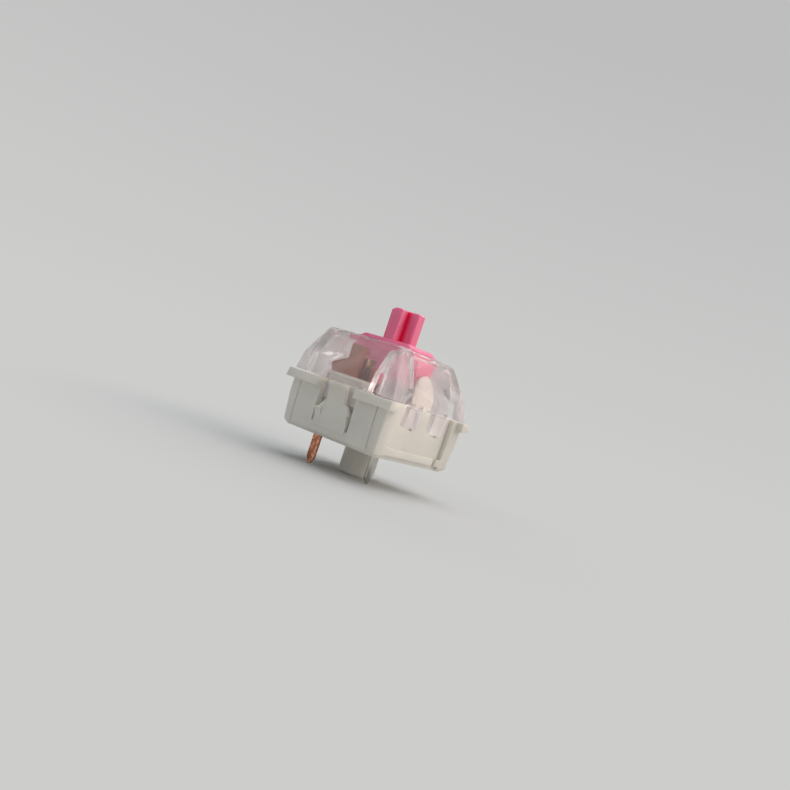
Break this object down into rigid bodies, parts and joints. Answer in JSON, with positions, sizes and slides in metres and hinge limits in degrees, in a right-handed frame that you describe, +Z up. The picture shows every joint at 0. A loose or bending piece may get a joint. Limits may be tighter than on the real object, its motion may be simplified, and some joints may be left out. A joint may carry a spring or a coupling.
{
  "type": "mechanical keyboard switch",
  "caption": "Plate-mounted mechanical keyboard switch with a clear upper housing, ivory lower housing, sprung cross stem, leaf contact and flat solder pins.",
  "frame": {"origin": "centre of the foot of the centre post, on the stem's axis, level with the tips of the pins", "axes": "+Z up along the stem's axis towards the keycap; the contact side with the pins faces -Y; the latch sides face +X and -X"},
  "size_m": [0.0156, 0.0156, 0.0192],
  "materials": {
    "clear_polycarbonate": "clear, faint lilac tint, moulded gloss",
    "ivory_nylon": "satin moulded",
    "pink_acetal": "satin moulded",
    "bare_copper": "stamped copper alloy",
    "tinned_brass": "tin plated",
    "spring_steel": "drawn wire",
    "gold_alloy": "bright"
  },
  "bodies": {
    "housing": {"lower_housing": "ivory_nylon", "upper_housing": "clear_polycarbonate", "leaf_terminal": "bare_copper", "fixed_terminal": "tinned_brass", "fixed_contact_tip": "gold_alloy", "return_spring": "spring_steel"},
    "stem": {"stem": "pink_acetal"},
    "leaf": {"contact_leaf": "bare_copper", "moving_contact_tip": "gold_alloy"}
  },
  "joints": [
    {"name": "stem_press", "type": "slide", "parent": "housing", "child": "stem", "axis": [0, 0, -1], "range_m": [0, 0.004], "stiffness_N_per_m": 75, "springref_m": -0.004, "deforming": ["return_spring"]},
    {"name": "leaf_flex", "type": "hinge", "parent": "housing", "child": "leaf", "pos_m": [0, -0.00457, 0.0064], "axis": [-1, 0, 0], "range_deg": [0, 2.45]}
  ],
  "couplings": [
    {"joint": "leaf_flex", "follows": "stem_press", "rad_per_m": 10.472}
  ]
}
